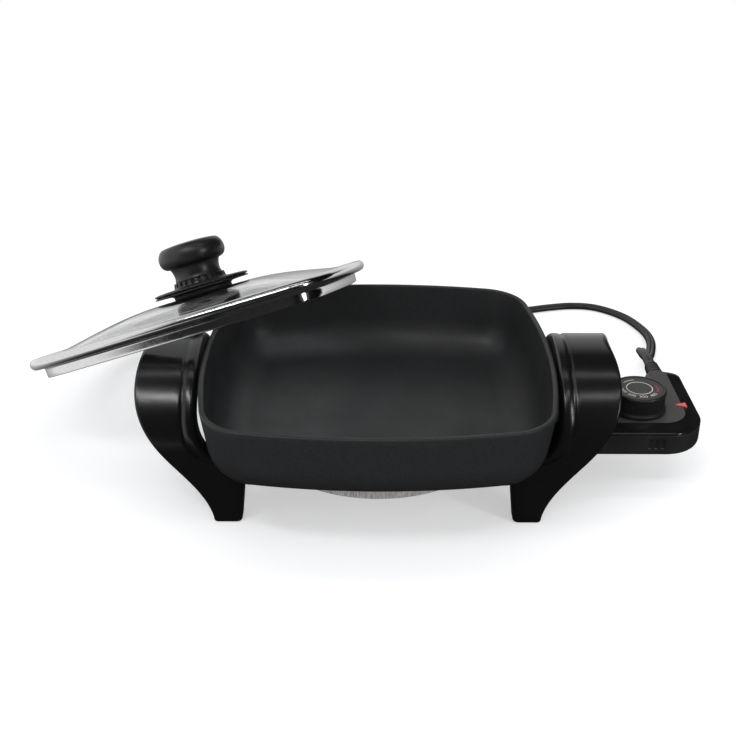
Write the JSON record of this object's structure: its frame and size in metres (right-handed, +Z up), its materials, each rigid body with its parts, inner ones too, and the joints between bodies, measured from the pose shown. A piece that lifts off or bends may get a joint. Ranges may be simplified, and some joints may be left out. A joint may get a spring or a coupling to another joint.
{
  "type": "electric skillet",
  "caption": "Small electric skillet: square non-stick pan on a heated base with arched handle feet, loose glass lid and plug-in dial control with cord.",
  "frame": {"origin": "under the middle of the pan, on the plane that the feet stand on", "axes": "+X towards the plug-in control, -Y to the front, +Z up"},
  "size_m": [0.4387, 0.3715, 0.1376],
  "materials": {
    "pan": "satin non-stick coating",
    "base": "turned",
    "sheath": "heat-dulled",
    "ceramic": "glazed ceramic",
    "guard": "black",
    "handle": "semi-gloss moulded",
    "fastener": "zinc plated",
    "glass": "polished",
    "steel": "polished",
    "knob": "satin moulded",
    "seal": "matte silicone",
    "brass": "plain",
    "housing": "fine grained",
    "probe": "drawn",
    "lens": "clear red",
    "lamp": "clear",
    "boot": "matte",
    "dial": "moulded",
    "face": "printed",
    "cord": "smooth",
    "tie": "plain"
  },
  "bodies": {
    "skillet": {"pan_body": "pan", "heating_base": "base", "heating_element": "sheath", "terminal_bushings": "ceramic", "terminal_guard": "guard", "left_handle": "handle", "right_handle": "handle", "handle_screws": "fastener", "screw_washers": "fastener"},
    "lid": {"lid_glass": "glass", "lid_rim": "steel", "lid_knob": "knob", "knob_saucer": "knob", "knob_gasket": "seal", "knob_insert": "brass", "knob_washer": "fastener", "knob_screw": "fastener"},
    "control": {"control_cover": "housing", "control_base": "housing", "control_screws": "fastener", "contact_sockets": "brass", "probe_rod": "probe", "thermostat_blade": "brass", "contact_leaf": "brass", "dial_bush": "brass", "pilot_lens": "lens", "pilot_lamp": "lamp", "strain_relief": "boot", "cord_stretch": "cord", "cord_coil": "cord", "cord_tie": "tie", "plug_body": "cord", "plug_prongs": "brass"},
    "dial": {"dial_knob": "dial", "dial_face": "face", "dial_shaft": "probe"}
  },
  "joints": [
    {"name": "lid_lift", "type": "slide", "parent": "skillet", "child": "lid", "axis": [0, 0, 1], "range_m": [0, 0.12]},
    {"name": "control_pull", "type": "slide", "parent": "skillet", "child": "control", "axis": [1, 0, 0], "range_m": [0, 0.09]},
    {"name": "dial_turn", "type": "hinge", "parent": "control", "child": "dial", "pos_m": [0.1625, 0.002, 0.055], "axis": [0, 0, 1], "range_deg": [-290, 0]}
  ]
}
